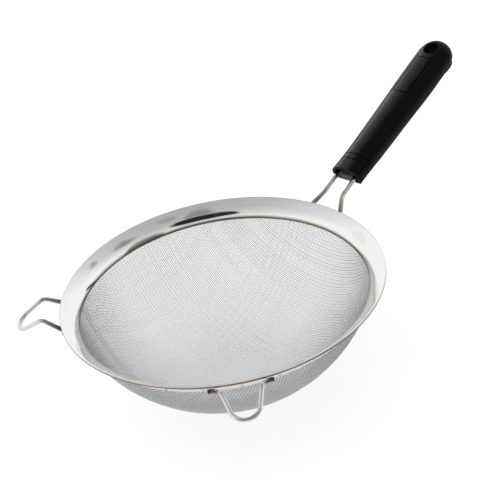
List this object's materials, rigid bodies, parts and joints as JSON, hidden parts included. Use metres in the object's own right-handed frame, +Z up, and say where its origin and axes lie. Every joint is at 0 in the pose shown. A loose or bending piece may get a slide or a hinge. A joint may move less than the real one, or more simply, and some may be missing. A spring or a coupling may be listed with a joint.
{
  "type": "wire mesh sieve",
  "caption": "round bowl-shaped wire mesh sieve with a wide polished rim, rest hooks and a black moulded handle with a hang hole",
  "frame": {"origin": "centre of the rim's top edge, on the axis of the bowl, where the plane of the rim meets it", "axes": "+Z points up out of the open bowl, +X points out along the handle, and +Y completes a right-handed frame"},
  "size_m": [0.3769, 0.22, 0.1411],
  "materials": {
    "polished_rim": "mirror polished stainless sheet",
    "woven_mesh": "plain weave of bright drawn wire",
    "clamp_steel": "plain rolled stainless strip",
    "bright_wire": "bright drawn and polished wire",
    "grip_plastic": "satin moulded plastic",
    "plug_plastic": "satin moulded plastic"
  },
  "bodies": {
    "root": {"rim_flange": "polished_rim", "mesh_bowl": "woven_mesh", "mesh_clamp_hoop": "clamp_steel", "rest_hook_left": "bright_wire", "rest_hook_right": "bright_wire", "handle_wire": "bright_wire", "handle_grip": "grip_plastic", "handle_plug": "plug_plastic"}
  },
  "joints": []
}
